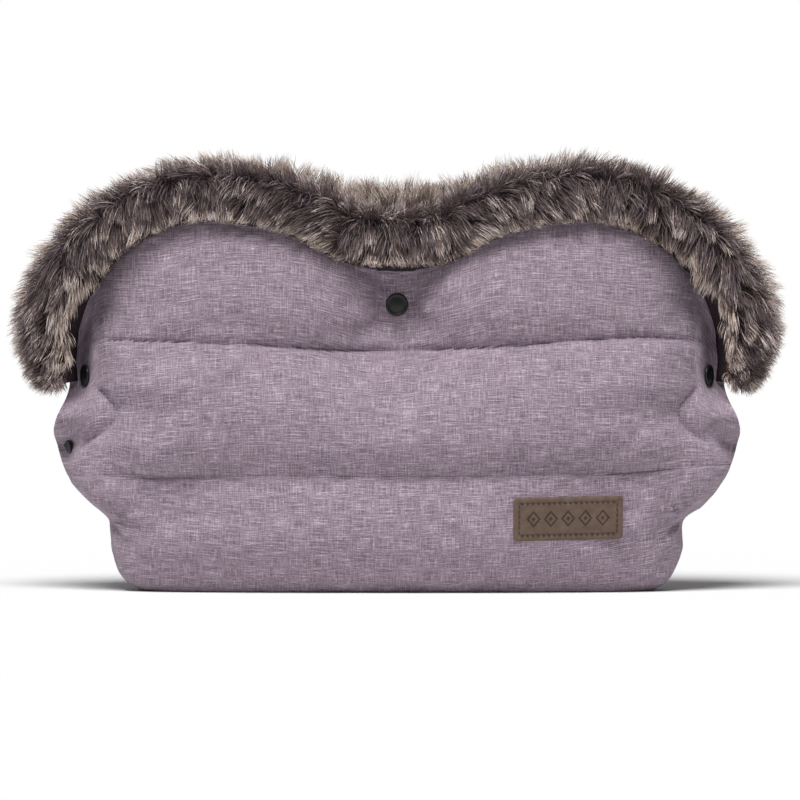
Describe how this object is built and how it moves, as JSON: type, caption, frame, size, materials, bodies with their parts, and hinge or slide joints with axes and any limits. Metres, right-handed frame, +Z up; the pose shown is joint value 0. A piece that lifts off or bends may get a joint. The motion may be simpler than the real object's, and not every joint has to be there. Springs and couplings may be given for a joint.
{
  "type": "hand warmer muff",
  "caption": "Padded fabric hand muff with quilted channels, arched fur-trimmed hand openings, a boxed base, side slots for a handlebar and press snaps.",
  "frame": {"origin": "centre of the base's underside, where the muff stands", "axes": "+X along the muff to the wearer's side with the label, -Y out of the front face, +Z up through the hand openings"},
  "size_m": [0.5022, 0.1215, 0.2786],
  "materials": {
    "fabric": "melange linen weave",
    "wadding": "polyester fibre",
    "lining": "brushed fleece",
    "fur": "long pile",
    "leather": "matte embossed",
    "thread": "stitched",
    "snap_lacquer": "black satin",
    "snap_metal": "nickel"
  },
  "bodies": {
    "pouch": {"pouch_shell": "fabric", "pouch_wadding": "wadding", "pouch_lining": "lining", "label_patch": "leather", "label_thread": "thread", "tab_front_left": "fabric", "tab_front_right": "fabric", "tab_back_left": "fabric", "tab_back_right": "fabric", "snap_cap_lower_left": "snap_lacquer", "snap_socket_lower_left": "snap_metal", "snap_stud_lower_left": "snap_metal", "snap_post_lower_left": "snap_lacquer", "snap_cap_lower_right": "snap_lacquer", "snap_socket_lower_right": "snap_metal", "snap_stud_lower_right": "snap_metal", "snap_post_lower_right": "snap_lacquer"},
    "front_flap": {"front_shell": "fabric", "front_wadding": "wadding", "front_lining": "lining", "front_fur_trim": "fur", "snap_cap_centre": "snap_lacquer", "snap_cap_upper_left": "snap_lacquer", "snap_cap_upper_right": "snap_lacquer", "snap_socket_centre": "snap_metal", "snap_socket_upper_left": "snap_metal", "snap_socket_upper_right": "snap_metal"},
    "back_flap": {"back_shell": "fabric", "back_wadding": "wadding", "back_lining": "lining", "back_fur_trim": "fur", "snap_stud_centre": "snap_metal", "snap_stud_upper_left": "snap_metal", "snap_stud_upper_right": "snap_metal", "snap_post_centre": "snap_lacquer", "snap_post_upper_left": "snap_lacquer", "snap_post_upper_right": "snap_lacquer"}
  },
  "joints": [
    {"name": "front_flap_fold", "type": "hinge", "parent": "pouch", "child": "front_flap", "pos_m": [0, -0.053, 0.075], "axis": [1, 0, 0], "range_deg": [0, 90]},
    {"name": "back_flap_fold", "type": "hinge", "parent": "pouch", "child": "back_flap", "pos_m": [0, 0.053, 0.075], "axis": [-1, 0, 0], "range_deg": [0, 90]}
  ]
}
